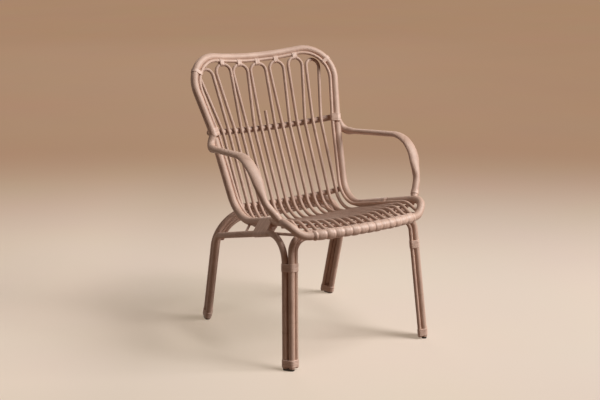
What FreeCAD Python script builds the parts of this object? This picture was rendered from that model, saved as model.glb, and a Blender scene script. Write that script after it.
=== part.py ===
"""Rattan armchair: bent poles, fanned core spindles that run on into the seat, and cane bindings.

Millimetres, +Z up, front towards -Y. The origin is on the floor under the middle of the chair.
"""
import FreeCAD, Part
import math
import os

V = FreeCAD.Vector

# Stock: diameters of the poles and cores, and the cane that binds them
hoop_pole = 25.0
arch_pole = 20.0
mid_rail_pole = 20.0
low_rail_pole = 18.0
front_rail_pole = 12.0
stay_pole = 9.0
core = 11.0
post_pole = 8.0
cane = 1.4
pole_gap = 0.5
rail_gap = 0.4

# Armrest section
arm_width = 37.0
arm_thickness = 18.0
arm_roll = 7.0
arm_neck = 30.0
arm_neck_width = 28.0
arm_foot_pole = 23.0

# Back hoop and arms, right half
arm_foot_y = -228.0
arm_foot_out = 6.1
arm_foot_up = 4.9
knee_half = 285.0
knee_y = -198.0
knee_z = 505.5
knee_radius = 66.0
arm_front_half = 302.0
arm_front_y = -140.0
arm_front_z = 635.0
arm_front_radius = 110.0
joint_half = 261.0
joint_y = 182.0
joint_z = 600.0
joint_radius = 35.0
waist_half = 240.0
waist_y = 192.0
waist_z = 641.5
waist_radius = 40.0
top_corner_half = 291.0
top_corner_y = 298.5
top_corner_z = 887.5
top_corner_radius = 103.0
top_middle_y = 337.0
top_middle_z = 857.0
top_bow_share = 0.58

# Seat rim, right half: from the waist down the side, along the seat and round the front
rim_top_in = 1.5
rim_top_ahead = 2.5
rim_top_below = 13.5
rim_bend_half = 209.5
rim_bend_y = 89.0
rim_bend_z = 368.0
rim_bend_radius = 100.0
rim_side_half = 210.0
rim_side_y = -121.0
rim_side_z = 422.0
rim_side_radius = 250.0
rim_corner_half = 258.0
rim_corner_y = -266.0
rim_corner_z = 458.0
rim_corner_radius = 40.0
rim_front_half = 215.0
rim_front_y = -299.0
rim_front_z = 416.0
rim_front_radius = 55.0
rim_middle_y = -335.6
rim_middle_z = 421.0
rim_bow_share = 0.88

# Spindles: the dished surface that they lie on, at three rails
spindle_pitch = 27.4
loop_pitch = 71.0
end_loop_shift = 2.5
end_loop_drop = 12.0
end_loop_narrowing = 3.0
dish_half = 193.0
mid_y = 248.0
mid_z = 630.5
mid_dish = 32.0
bend_y = 108.0
bend_z = 340.0
bend_dish = 31.0
bend_radius = 85.0
bend_fan = 0.95
back_tilt = 22.0
crest_y = -254.0
crest_z = 433.0
crest_dish = 19.0
crest_radius = 60.0
crest_fan = 0.99
crest_tilt = 42.0
inner_tilt = 38.0
inner_corner_in = 1.12
inner_corner_back = 0.34
inner_crest_half = 214.0
inner_end_half = 222.0
core_bend_radius = 90.0
mid_bend_radius = 200.0
inner_waist_radius = 600.0
loop_round_share = 0.95
centre_spindle_rise = 55.0
mid_rail_half = 243.0
low_rail_reach = 188.0
low_rail_end_z = 430.0
low_rail_end_radius = 30.0
low_rail_end_lead = 12.0
front_rail_half = 247.0

# Legs: foot places on the floor and lean per millimetre of height
front_foot_half = 254.0
front_foot_y = -297.0
front_lean_in = 0.0613
front_lean_back = 0.1032
rear_foot_half = 245.0
rear_foot_y = 260.0
rear_lean_out = 0.011
rear_lean_front = 0.259
front_step_turn = 53.0
rear_step_turn = -78.0
front_arch_z = 415.0
rear_arch_z = 392.0
side_arch_front_z = 420.0
side_arch_rear_z = 318.0
rear_set_angle = 53.0
arch_bend_radius = 55.0
rear_bend_radius = 115.0
side_bend_radius = 80.0
side_rear_radius = 35.0
companion = 12.0
brace = 12.0
brace_foot_z = 286.0
front_bow_share = 0.7
rear_bow_share = 0.48
leg_trim = 20.0
glide_height = 7.0
glide_inset = 2.0

# Bindings: lengths along the poles and places
top_band_length = 17.0
corner_band_length = 12.0
waist_band_length = 26.0
waist_band_z = 648.0
corner_band_z = 826.0
leg_band_length = 25.0
leg_band_z = 314.0
foot_band_z = 22.0
foot_band_length = 22.0
side_band_length = 80.0
side_band_y = -108.0
post_y = -15.0
post_lean_back = 28.0
arm_band_length = 14.0
tie_length = 14.0
rear_tie_half = 46.0
front_tie_half = 60.0
stay_front_half = 214.0
stay_back_y = -150.0


def right(half, y, z):
    """A point on the right half."""
    return V(half, y, z)


def mirror(point):
    return V(-point.x, point.y, point.z)


def turn_between(before, corner, after):
    """Angle through which a path turns at a corner, in radians."""
    return (corner - before).getAngle(after - corner)


def bowed_middle(corner, apex, share):
    """Middle corner and radius of a bar that runs from corner to its mirror through apex.

    share is the part of the half width that the round middle takes.
    """
    reach = corner.x * share
    drop = V(0, corner.y - apex.y, corner.z - apex.z)
    middle = apex - drop * (reach / (2 * corner.x - reach))
    slope = math.atan2((V(0, corner.y, corner.z) - middle).Length, corner.x)
    radius = (apex - middle).Length / (1 / math.cos(slope) - 1)
    return middle, radius


def arc_at(before, corner, after, radius):
    """Start, middle and end of the round at a corner of a path."""
    back = (before - corner).normalize()
    ahead = (after - corner).normalize()
    half_turn = turn_between(before, corner, after) / 2
    reach = radius * math.tan(half_turn)
    rise = radius * (1 / math.cos(half_turn) - 1)
    towards = (back + ahead).normalize()
    return corner + back * reach, corner + towards * rise, corner + ahead * reach


def crossings(edges, axis, level):
    """Points and directions where edges cross a level of one coordinate, in their order."""
    found = []
    for edge in edges:
        low, high = edge.FirstParameter, edge.LastParameter
        marks = [low + (high - low) * step / 60 for step in range(61)]
        for near, far in zip(marks, marks[1:]):
            start = getattr(edge.valueAt(near), axis) - level
            finish = getattr(edge.valueAt(far), axis) - level
            if start * finish > 0:
                continue
            for halving in range(40):
                middle = (near + far) / 2
                if (getattr(edge.valueAt(middle), axis) > level) == (finish > start):
                    far = middle
                else:
                    near = middle
            found.append((edge.valueAt(near), edge.tangentAt(near)))
    return found


class Path:
    """Straight runs joined by tangent rounds, given as corners and one radius per inner corner."""

    def __init__(self, corners, radii):
        self.corners = corners
        self.edges = []
        place = corners[0]
        for before, corner, after, radius in zip(corners, corners[1:], corners[2:], radii):
            start, middle, end = arc_at(before, corner, after, radius)
            if (start - place).Length > 1e-6:
                self.edges.append(Part.LineSegment(place, start).toShape())
            self.edges.append(Part.Arc(start, middle, end).toShape())
            place = end
        if (corners[-1] - place).Length > 1e-6:
            self.edges.append(Part.LineSegment(place, corners[-1]).toShape())
        self.wire = Part.Wire(self.edges)

    def pole(self, diameter):
        """Round pole along the path."""
        start = self.edges[0]
        way = start.tangentAt(start.FirstParameter)
        ring = Part.Wire(Part.Circle(start.valueAt(start.FirstParameter), way, diameter / 2).toShape())
        return self.wire.makePipeShell([ring], True, False)

    def where(self, axis, level):
        return crossings(self.edges, axis, level)


def both_sides(corners, middle):
    """Corners of a symmetric path: right half, middle corner, mirrored left half."""
    return corners + [middle] + [mirror(corner) for corner in reversed(corners)]


def hull(circles, axis, length):
    """Prism around a group of round sections that lie in one plane square to axis."""
    back = axis * (-length / 2)
    body = None
    for centre, radius in circles:
        disc = Part.makeCylinder(radius, length, centre + back, axis)
        body = disc if body is None else body.fuse(disc)
    for number, (first, r1) in enumerate(circles):
        for second, r2 in circles[number + 1:]:
            along = second - first
            lean = (r1 - r2) / along.Length
            along.normalize()
            across = axis.cross(along)
            sine = math.sqrt(1 - lean * lean)
            upper = along * lean + across * sine
            lower = along * lean - across * sine
            ring = [first + upper * r1, second + upper * r2, second + lower * r2, first + lower * r1]
            web = Part.Face(Part.makePolygon([point + back for point in ring + ring[:1]]))
            body = body.fuse(web.extrude(axis * length))
    return body.removeSplitter()


def flatten(point, centre, axis):
    """The point moved along axis into the plane through centre."""
    return point - axis * (point - centre).dot(axis)


def biggest(shape):
    return max(shape.Solids, key=lambda solid: solid.Volume)


def band(centre, axis, poles, length, cutters):
    """Cane binding around a group of poles, given as points on their axes and diameters."""
    axis = V(axis).normalize()
    circles = [(flatten(point, centre, axis), size / 2 + cane) for point, size in poles]
    body = hull(circles, axis, length)
    return biggest(body.cut(Part.makeCompound(cutters)))


def save(shape, name):
    """Write one node; a lone solid goes out as a solid."""
    solids = shape.Solids
    out = solids[0] if len(solids) == 1 else Part.makeCompound(solids)
    out.exportStep(f"parts/{name}.step")
    volume = sum(solid.Volume for solid in solids)
    print(f"{name}: {len(solids)} solid(s), {volume:.0f} mm3, valid {out.isValid()}")


def save_pair(shape, name):
    """Write a right-hand piece and its mirror image."""
    save(shape, f"{name}_right")
    save(shape.mirror(V(0, 0, 0), V(1, 0, 0)), f"{name}_left")


os.makedirs("parts", exist_ok=True)

# Back hoop with its two arms, one pole that swells into flat armrests
knee = right(knee_half, knee_y, knee_z)
arm_front = right(arm_front_half, arm_front_y, arm_front_z)
joint = right(joint_half, joint_y, joint_z)
waist = right(waist_half, waist_y, waist_z)
top_corner = right(top_corner_half, top_corner_y, top_corner_z)
top_apex = V(0, top_middle_y, top_middle_z)
top_middle, top_middle_radius = bowed_middle(top_corner, top_apex, top_bow_share)


def oval(centre, way, side, width, thickness):
    """Closed oval section square to way, its wide axis along side."""
    wide = (side - way * side.dot(way)).normalize()
    curve = Part.Ellipse(centre + wide * (width / 2), centre + way.cross(wide) * (thickness / 2), centre)
    return Part.Wire(curve.toShape())


def ring(centre, way, side, diameter):
    """Closed round section square to way, starting on the same side as an oval."""
    wide = (side - way * side.dot(way)).normalize() * (diameter / 2)
    up = way.cross(wide)
    return Part.Wire(Part.Circle(centre + wide, centre + up, centre - wide).toShape())


def arm():
    """Right arm from the end of the joint's round to its foot on the seat rim."""
    joint_end = arc_at(waist, joint, arm_front, joint_radius)[2]
    bend_start, bend_middle, bend_end = arc_at(joint, arm_front, knee, arm_front_radius)
    knee_start, knee_middle, knee_end = arc_at(arm_front, knee, arm_foot, knee_radius)
    forward = (arm_front - joint).normalize()
    down = (knee - arm_front).normalize()
    side = forward.cross(down).normalize()
    level = FreeCAD.Rotation(forward, arm_roll).multVec(side)
    upright = FreeCAD.Rotation(down, arm_roll).multVec(side)
    rear = ring(joint_end, forward, level, hoop_pole)
    wide_start = oval(bend_start, forward, level, arm_width, arm_thickness)
    wide_end = oval(bend_end, down, upright, arm_width, arm_thickness)
    narrow = ring(knee_start, down, upright, arm_foot_pole)
    slim = oval(joint_end + forward * arm_neck, forward, level, arm_neck_width, arm_thickness)
    rest = Part.makeLoft([rear, slim, wide_start], True, True)
    towards = (bend_start - arm_front).normalize() + (bend_end - arm_front).normalize()
    centre = arm_front + towards.normalize() * ((bend_middle - arm_front).Length + arm_front_radius)
    angle = math.degrees(turn_between(joint, arm_front, knee))
    bend = Part.Face(wide_start).revolve(centre, side, angle)
    drop = Part.makeLoft([wide_end, narrow], True, True)
    foot_path = Part.Wire([Part.Arc(knee_start, knee_middle, knee_end).toShape(),
                           Part.LineSegment(knee_end, arm_foot).toShape()])
    foot = foot_path.makePipeShell([narrow], True, False)
    return rest.fuse([bend, drop, foot])


joint_finish = arc_at(waist, joint, arm_front, joint_radius)[2]
hoop_path = Path(both_sides([joint_finish, joint, waist, top_corner], top_middle),
                 [joint_radius, waist_radius, top_corner_radius, top_middle_radius,
                  top_corner_radius, waist_radius, joint_radius])
# Seat rim: side posts, seat sides, front corners and bowed front rail
rim_top = waist - V(rim_top_in, rim_top_ahead, rim_top_below)
rim_bend = right(rim_bend_half, rim_bend_y, rim_bend_z)
rim_side = right(rim_side_half, rim_side_y, rim_side_z)
rim_corner = right(rim_corner_half, rim_corner_y, rim_corner_z)
rim_front = right(rim_front_half, rim_front_y, rim_front_z)
rim_apex = V(0, rim_middle_y, rim_middle_z)
rim_middle, rim_middle_radius = bowed_middle(rim_front, rim_apex, rim_bow_share)
rim_radii = [rim_bend_radius, rim_side_radius, rim_corner_radius, rim_front_radius]
rim_path = Path(both_sides([rim_top, rim_bend, rim_side, rim_corner, rim_front], rim_middle),
                rim_radii + [rim_middle_radius] + rim_radii[::-1])
rim = rim_path.pole(hoop_pole)

# Arms stand on the seat sides, a little outside and above the rim's axis
arm_seat = max((point for point, way in rim_path.where("y", arm_foot_y)), key=lambda point: point.x)
arm_foot = arm_seat + V(arm_foot_out, 0, arm_foot_up)
right_arm = biggest(arm().cut(rim))
left_arm = right_arm.mirror(V(0, 0, 0), V(1, 0, 0))
hoop = hoop_path.pole(hoop_pole).fuse([right_arm, left_arm]).removeSplitter()
rim = biggest(rim.cut(hoop))


def dish(y, z, tilt, depth, x):
    """Point at x on a dished line: a round bow of given depth at dish_half, deepest at (y, z)."""
    radius = (dish_half ** 2 + depth ** 2) / (2 * depth)
    sag = radius - math.sqrt(radius ** 2 - x ** 2)
    angle = math.radians(tilt)
    return V(x, y - math.cos(angle) * sag, z + math.sin(angle) * sag)


def mid_point(x):
    return dish(mid_y, mid_z, back_tilt, mid_dish, x)


def bend_point(x):
    return dish(bend_y, bend_z, back_tilt, bend_dish, x)


def crest_point(x):
    return dish(crest_y, crest_z, 180 - crest_tilt, crest_dish, x)


def rim_front_point(x):
    """Point of the rim's axis at x on its front rail."""
    return min((point for point, way in rim_path.where("x", x)), key=lambda point: point.y)


# Inner hoop: core pole beside the hoop and the seat sides, over the front cross rail to the front rail
nest = (hoop_pole + core) / 2 + pole_gap
inner_down = V(0, -math.cos(math.radians(inner_tilt)), -math.sin(math.radians(inner_tilt))) * nest
inner_corner = top_corner + V(-inner_corner_in * nest, inner_corner_back * nest, 0) + inner_down
inner_apex = top_apex + inner_down
inner_middle, inner_middle_radius = bowed_middle(inner_corner, inner_apex, top_bow_share)
inner_waist = (waist + rim_top) / 2
inner_waist.x = waist_half - nest
inner_bend = rim_bend - V(nest, 0, 0)
inner_side = rim_side - V(nest, 0, 0)
inner_crest = crest_point(inner_crest_half)
inner_end = rim_front_point(inner_end_half)
inner_corners = [inner_end, inner_crest, inner_side, inner_bend, inner_waist, inner_corner]
inner_radii = [crest_radius, rim_side_radius, rim_bend_radius, inner_waist_radius, core_bend_radius]
inner_path = Path(both_sides(inner_corners, inner_middle),
                  inner_radii + [inner_middle_radius] + inner_radii[::-1])
inner_hoop = biggest(inner_path.pole(core).cut(rim))


# Spindles: hairpin loops from the front rail through the seat and up the back, and a short middle one
def leg_corners(number):
    """Corners of one spindle leg, from its end on the front rail up to the middle back rail."""
    x = number * spindle_pitch
    return [rim_front_point(x * crest_fan), crest_point(x * crest_fan),
            bend_point(x * bend_fan), mid_point(x)]


leg_radii = [crest_radius, bend_radius]
loop_half = (loop_pitch - core - pole_gap) / 2
loop_down = V(0, -math.sin(math.radians(back_tilt)), -math.cos(math.radians(back_tilt)))


def loop_path(place):
    """Path of the hairpin at place -3 to 3, from one end on the front rail to the other."""
    sign = -1 if place < 0 else 1
    first, second = (-1, 1) if place == 0 else sorted((2 * place, 2 * place + sign))
    centre = place * loop_pitch
    half = loop_half
    lower = core + pole_gap
    over = centre if abs(place) < 3 else sign * 2 * loop_pitch
    level = max((point for point, way in inner_path.where("x", over)), key=lambda point: point.z)
    if abs(place) == 3:
        centre = centre - sign * end_loop_shift
        half = loop_half - end_loop_narrowing
        lower = lower + end_loop_drop
    top = V(centre, level.y, level.z) + loop_down * lower
    left_leg = leg_corners(first)
    right_leg = leg_corners(second)
    shoulders = [top - V(half, 0, 0), top + V(half, 0, 0)]
    round_top = half * loop_round_share
    return Path(left_leg + shoulders + right_leg[::-1],
                leg_radii + [mid_bend_radius, round_top, round_top, mid_bend_radius] + leg_radii[::-1])


loops = []
for place in range(-3, 4):
    loops.append(biggest(loop_path(place).pole(core).cut(rim)))
middle_leg = leg_corners(0)
middle_top = middle_leg[-1] + (inner_apex - middle_leg[-1]).normalize() * centre_spindle_rise
middle_path = Path(middle_leg + [middle_top], leg_radii + [mid_bend_radius])
centre_spindle = biggest(middle_path.pole(core).cut(rim))
spindles = loops + [centre_spindle]
last = 7


# Rails: bowed to bear on the backs and undersides of the spindles
def bow_edge(middle, side, half):
    """Round bow through side, middle and the mirror of side, carried on to half width."""
    out = V(0, middle.y - side.y, middle.z - side.z)
    depth = out.Length
    out.normalize()
    radius = (side.x ** 2 + depth ** 2) / (2 * depth)
    end = middle - out * (radius - math.sqrt(radius ** 2 - half ** 2)) + V(half, 0, 0)
    return Part.Arc(end, middle, mirror(end)).toShape(), out, radius


def outward(middle, side, offset):
    """The two bearing points moved away from the middle of the bow through them."""
    edge, out, radius = bow_edge(middle, side, side.x)
    centre = middle - out * radius
    moved = side + (side - centre).normalize() * offset
    return middle + out * offset, moved


def edge_pole(edge, diameter):
    """Round pole along one edge."""
    first = edge.FirstParameter
    ring = Part.Wire(Part.Circle(edge.valueAt(first), edge.tangentAt(first), diameter / 2).toShape())
    return Part.Wire([edge]).makePipeShell([ring], True, False)


mid_bear, mid_bear_side = outward(mid_point(0), mid_point(last * spindle_pitch),
                                  (mid_rail_pole + core) / 2 + rail_gap)
mid_rail_edge = bow_edge(mid_bear, mid_bear_side, mid_rail_half)[0]
mid_rail = edge_pole(mid_rail_edge, mid_rail_pole)
mid_rail = biggest(mid_rail.cut(Part.makeCompound([hoop, rim, inner_hoop])))


def bend_start(number):
    """Where a spindle leg starts its bend into the seat, seen from the back."""
    leg = leg_corners(number)
    return arc_at(leg[3], leg[2], leg[1], bend_radius)[0]


low_bear, low_bear_side = outward(bend_start(0), bend_start(last), (low_rail_pole + core) / 2 + rail_gap)
low_out, low_radius = bow_edge(low_bear, low_bear_side, low_rail_reach)[1:]
low_turn = math.asin(low_rail_reach / low_radius)
low_middle = low_bear + low_out * (low_radius * (1 / math.cos(low_turn) - 1))
low_way = V(math.cos(low_turn), 0, 0) - low_out * math.sin(low_turn)
low_end = max((point for point, way in rim_path.where("z", low_rail_end_z) if point.y > 0),
              key=lambda point: point.x)
low_corner = low_middle + low_way * (low_radius * math.tan(low_turn) + low_rail_end_lead)
low_path = Path(both_sides([low_end, low_corner], low_middle),
                [low_rail_end_radius, low_radius, low_rail_end_radius])
low_rail = low_path.pole(low_rail_pole)
low_rail = biggest(low_rail.cut(Part.makeCompound([rim, inner_hoop])))


def crest_low(number):
    """Middle of the round of a spindle leg over the front cross rail."""
    leg = leg_corners(number)
    return arc_at(leg[0], leg[1], leg[2], crest_radius)[1]


front_drop = V(0, 0, -(front_rail_pole + core) / 2 - rail_gap)
front_bear = crest_low(0) + front_drop
front_edge = bow_edge(front_bear, crest_low(last) + front_drop, front_rail_half)[0]
front_rail = edge_pole(front_edge, front_rail_pole)
front_rail = biggest(front_rail.cut(Part.makeCompound([rim, hoop])))

# Leg arches: a side arch and a front or rear arch stand side by side in each leg
floor_box = Part.makeBox(2000, 2000, 500, V(-1000, -1000, glide_height - 500))


def front_leg(z):
    return V(front_foot_half - front_lean_in * z, front_foot_y + front_lean_back * z, z)


def rear_leg(z):
    return V(rear_foot_half + rear_lean_out * z, rear_foot_y - rear_lean_front * z, z)


def beside(line, turn):
    """Step from an arch pole to the side pole next to it, square to the leg."""
    up = (line(1) - line(0)).normalize()
    plan = V(math.cos(math.radians(turn)), math.sin(math.radians(turn)), 0)
    return (plan - up * plan.dot(up)).normalize() * (arch_pole + pole_gap)


front_side_step = beside(front_leg, front_step_turn)
rear_side_step = beside(rear_leg, rear_step_turn)
below = -leg_trim


def standing(path, diameter):
    """Pole cut level on top of the foot glides."""
    return biggest(path.pole(diameter).cut(floor_box))


front_apex = front_bear + V(0, 0, -(front_rail_pole + arch_pole) / 2 - rail_gap)
front_corner = front_leg(front_arch_z)
front_middle, front_middle_radius = bowed_middle(front_corner, front_apex, front_bow_share)
front_path = Path(both_sides([front_leg(below), front_corner], front_middle),
                  [arch_bend_radius, front_middle_radius, arch_bend_radius])
front_arch = standing(front_path, arch_pole)

rear_set_out = math.radians(rear_set_angle)
rear_apex = low_bear + V(0, math.cos(rear_set_out), -math.sin(rear_set_out)) * (
    (low_rail_pole + arch_pole) / 2 + rail_gap)
rear_corner = rear_leg(rear_arch_z)
rear_middle, rear_middle_radius = bowed_middle(rear_corner, rear_apex, rear_bow_share)
rear_path = Path(both_sides([rear_leg(below), rear_corner], rear_middle),
                 [rear_bend_radius, rear_middle_radius, rear_bend_radius])
rear_arch = standing(rear_path, arch_pole)

side_corners = [front_leg(below) + front_side_step, front_leg(side_arch_front_z) + front_side_step,
                rear_leg(side_arch_rear_z) + rear_side_step, rear_leg(below) + rear_side_step]
side_path = Path(side_corners, [side_bend_radius, side_rear_radius])
side_arch = standing(side_path, arch_pole)

# Companion poles nested inside the front and rear arches
companion_step = (arch_pole + companion) / 2 + pole_gap


def nested(foot, top, apex, share, bend, step):
    """Path of a pole nested inside an arch, step away from the arch's axis."""
    down = (foot - top).normalize()
    along = (bowed_middle(top, apex, share)[0] - top).normalize()
    spread = step / math.sin(down.getAngle(along))
    inward = (along - down * along.dot(down)).normalize() * step
    fall = V(0, down.y, down.z).normalize() * (step + pole_gap)
    corner = top + (down + along) * spread
    middle, radius = bowed_middle(corner, apex + fall, share)
    return Path(both_sides([foot + inward, corner], middle), [bend, radius, bend])


front_inner_path = nested(front_leg(below), front_corner, front_apex, front_bow_share,
                          arch_bend_radius - companion_step, companion_step)
front_inner = standing(front_inner_path, companion)
rear_inner_path = nested(rear_leg(below), rear_corner, rear_apex, rear_bow_share,
                         rear_bend_radius - companion_step, companion_step)
rear_inner = standing(rear_inner_path, companion)

# Third pole under the rear arch, from just below the side arches
brace_step = companion_step + (companion + brace) / 2 + pole_gap
brace_path = nested(rear_leg(below), rear_corner, rear_apex, rear_bow_share,
                    rear_bend_radius - brace_step, brace_step)
brace_trim = Part.makeBox(2000, 2000, 1000, V(-1000, -1000, brace_foot_z - 1000))
rear_brace = biggest(brace_path.pole(brace).cut(brace_trim))

# Stays and posts between the arches and the seat rim
stay_start = [point for point, way in side_path.where("y", stay_back_y) if point.z > side_arch_rear_z][0]
stay_end = rim_front_point(stay_front_half)
stay = Path([stay_start, stay_end], []).pole(stay_pole)
stay = biggest(stay.cut(Part.makeCompound([side_arch, rim])))


def side_pair(y):
    """Rim and side arch axis points at y along the seat side, with the arch's direction."""
    rim_place = max((item for item in rim_path.where("y", y) if item[0].x > 0), key=lambda item: item[0].x)
    arch_place = max(side_path.where("y", y), key=lambda item: item[0].z)
    return rim_place[0], arch_place[0], arch_place[1]


post_foot = side_pair(post_y)[1]
post_top = side_pair(post_y + post_lean_back)[0]
post = biggest(Path([post_foot, post_top], []).pole(post_pole).cut(Part.makeCompound([side_arch, rim])))

# Foot glides
def leg_group(line, step, z):
    """Axis points and diameters of the three poles of a right-hand leg at height z."""
    place = line(z)
    inner = line(z) - V(companion_step, 0, 0)
    return [(place + step, arch_pole), (place, arch_pole), (inner, companion)]


def glide(line, step):
    """Glide under the two main poles of a right-hand leg."""
    circles = [(V(point.x, point.y, glide_height / 2), size / 2 - glide_inset)
               for point, size in leg_group(line, step, glide_height)[:2]]
    return hull(circles, V(0, 0, 1), glide_height)


# Bindings
leg_cutters = {"front": [front_arch, side_arch, front_inner], "rear": [rear_arch, side_arch, rear_inner]}


def leg_band(line, step, z, length, name):
    way = line(1) - line(0)
    return band(line(z), way, leg_group(line, step, z), length, leg_cutters[name] + [floor_box])


def top_band(place):
    """Binding that ties a loop's top to the inner hoop, against the back hoop."""
    x = place * loop_pitch
    inner, way = max(inner_path.where("x", x), key=lambda item: item[0].z)
    return band(inner, way, [(inner, core), (inner + loop_down * (core + pole_gap), core)],
                top_band_length, [hoop, inner_hoop] + loops)


def nearest_on(path, point):
    """Point of a path nearest to a given one."""
    return path.wire.distToShape(Part.Vertex(point))[1][0][0]


def hoop_band(z, length):
    """Binding around the back hoop and the inner hoop on the right side at height z."""
    inner, way = [item for item in inner_path.where("z", z) if item[0].x > 0][0]
    return band(inner, way, [(inner, core), (nearest_on(hoop_path, inner), hoop_pole)],
                length, [hoop, inner_hoop, rim] + loops)


corner_band = hoop_band(corner_band_z, corner_band_length)
waist_band = hoop_band(waist_band_z, waist_band_length)
side_rim, side_bar, side_way = side_pair(side_band_y)
side_band = band((side_rim + side_bar) / 2, side_way, [(side_rim, hoop_pole), (side_bar, arch_pole)],
                 side_band_length, [rim, side_arch, inner_hoop, stay, post])
arm_way = (knee - arm_foot).normalize()
arm_ring = arm_foot + arm_way * (hoop_pole / 2 + arm_band_length / 2)
arm_band = band(arm_ring, arm_way, [(arm_ring, arm_foot_pole)], arm_band_length, [hoop, rim])


def arch_tie(rail_edge_point, way, arch_path, x, rail_size, cutters):
    place = max(arch_path.where("x", x), key=lambda item: item[0].z)[0]
    return band(rail_edge_point, way, [(rail_edge_point, rail_size), (place, arch_pole)], tie_length, cutters)


rear_spot, rear_way = max(low_path.where("x", rear_tie_half), key=lambda item: item[0].z)
rear_tie = arch_tie(rear_spot, rear_way, rear_path, rear_tie_half, low_rail_pole,
                    [low_rail, rear_arch, rear_inner] + spindles)
front_spot, front_way = crossings([front_edge], "x", front_tie_half)[0]
front_tie = arch_tie(front_spot, front_way, front_path, front_tie_half, front_rail_pole,
                     [front_rail, front_arch, front_inner] + spindles)
wrap_edge = max(rim_path.edges, key=lambda edge: edge.CenterOfMass.y * -1)
front_wrap = edge_pole(wrap_edge, hoop_pole + 2 * cane)
front_wrap = biggest(front_wrap.cut(Part.makeCompound([rim] + spindles)))

# Nodes
save(hoop, "back_arm_hoop")
save(inner_hoop, "inner_hoop")
save(rim, "seat_rim")
for number, loop in enumerate(loops):
    save(loop, f"spindle_loop_{number + 1}")
save(centre_spindle, "centre_spindle")
save(mid_rail, "mid_back_rail")
save(low_rail, "low_back_rail")
save(front_rail, "front_cross_rail")
save(front_arch, "front_leg_arch")
save(rear_arch, "rear_leg_arch")
save(front_inner, "front_arch_inner")
save(rear_inner, "rear_arch_inner")
save(rear_brace, "rear_arch_brace")
save_pair(side_arch, "side_arch")
save_pair(stay, "corner_stay")
save_pair(post, "side_post")
save_pair(glide(front_leg, front_side_step), "front_foot_glide")
save_pair(glide(rear_leg, rear_side_step), "rear_foot_glide")
save_pair(leg_band(front_leg, front_side_step, leg_band_z, leg_band_length, "front"), "front_leg_band")
save_pair(leg_band(front_leg, front_side_step, foot_band_z, foot_band_length, "front"), "front_foot_band")
save_pair(leg_band(rear_leg, rear_side_step, foot_band_z, foot_band_length, "rear"), "rear_foot_band")
save(top_band(0), "top_band_middle")
save_pair(top_band(1), "top_band_inner")
save_pair(top_band(2), "top_band_outer")
save_pair(corner_band, "corner_band")
save_pair(waist_band, "waist_band")
save_pair(side_band, "side_band")
save_pair(arm_band, "arm_band")
save_pair(rear_tie, "rear_arch_tie")
save_pair(front_tie, "front_arch_tie")
save(front_wrap, "front_rail_wrap")
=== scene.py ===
# %% [markdown]
# # A rattan armchair, dressed for its picture
# The chair is bent from peeled rattan poles, with thin round cores for its spindles and strips of
# cane wound round each joint. The frame that comes in holds every pole at full size. This lesson gives
# the poles a rattan finish, winds the cane turn by turn, and sets up the picture.
# Lengths are metres, the floor is at zero, and the front of the chair faces -Y.

import math

import bpy
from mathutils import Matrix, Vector


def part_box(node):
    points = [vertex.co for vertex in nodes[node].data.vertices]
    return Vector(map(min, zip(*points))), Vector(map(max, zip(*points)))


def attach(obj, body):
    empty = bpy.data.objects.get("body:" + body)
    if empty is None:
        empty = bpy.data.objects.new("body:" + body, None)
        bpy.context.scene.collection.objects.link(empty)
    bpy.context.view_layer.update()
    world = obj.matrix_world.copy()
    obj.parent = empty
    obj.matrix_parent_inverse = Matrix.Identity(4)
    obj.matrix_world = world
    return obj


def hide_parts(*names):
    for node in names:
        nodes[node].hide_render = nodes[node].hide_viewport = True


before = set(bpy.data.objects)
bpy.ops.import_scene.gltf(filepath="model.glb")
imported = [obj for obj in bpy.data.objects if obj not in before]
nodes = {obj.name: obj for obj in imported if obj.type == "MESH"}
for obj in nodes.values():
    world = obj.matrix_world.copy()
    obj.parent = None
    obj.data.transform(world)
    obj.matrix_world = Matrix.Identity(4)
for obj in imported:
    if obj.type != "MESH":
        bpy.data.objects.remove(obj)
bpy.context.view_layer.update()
bpy.ops.object.select_all(action="DESELECT")
print("frame nodes:", len(nodes))

# %% [markdown]
# ## The camera
# The picture is taken from the front left of the chair, a little above the seat, with a long lens
# that keeps the legs almost parallel. The place and the turn are written as plain numbers, because
# they were found once by matching the feet, arms and top of the back. A Track To constraint would
# also work, but three angles are easier to read later.

# %% Set the camera
camera_place = (-2.16325, -3.29993, 1.47844)
camera_turn = -32.84
camera_drop = 14.86
bpy.ops.object.camera_add(
    location=camera_place,
    rotation=(math.radians(90 - camera_drop), 0, math.radians(camera_turn)),
)
camera = bpy.context.object
camera.name = "picture_camera"
camera.data.sensor_width = 36.0
camera.data.lens = 75.76
camera.data.dof.use_dof = False
bpy.context.scene.camera = camera
bpy.context.scene.view_settings.view_transform = "Standard"
print("camera lens:", round(camera.data.lens, 2), "mm")

# %% [markdown]
# ## Floor and backdrop
# A wide sheet of studio paper lies on the floor. A curved sheet that rises behind the chair would look
# the same in the picture, but it would hide the chair from behind. The flat one is seen past the chair
# from every side, so its colour turns deeper with the distance, and the world takes the same deep
# colour above it.

# %% Lay the paper
paper_half = 30.0
bpy.ops.mesh.primitive_plane_add(size=2 * paper_half, location=(0, 0, 0))
paper = bpy.context.object
paper.name = "studio_paper"
print("paper size:", [round(value, 1) for value in paper.dimensions])

# %% [markdown]
# ## Light
# A wide lamp stands at the right and gives the poles their bright right sides and dark left sides, with
# a very soft shadow. A smaller one hangs high at the front right and draws the shadow on the floor. Two
# weaker ones behind the chair keep its back and its far side readable. Sun lamps would do the same with
# harder shadows; area lamps have the soft edge of a studio box.

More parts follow.
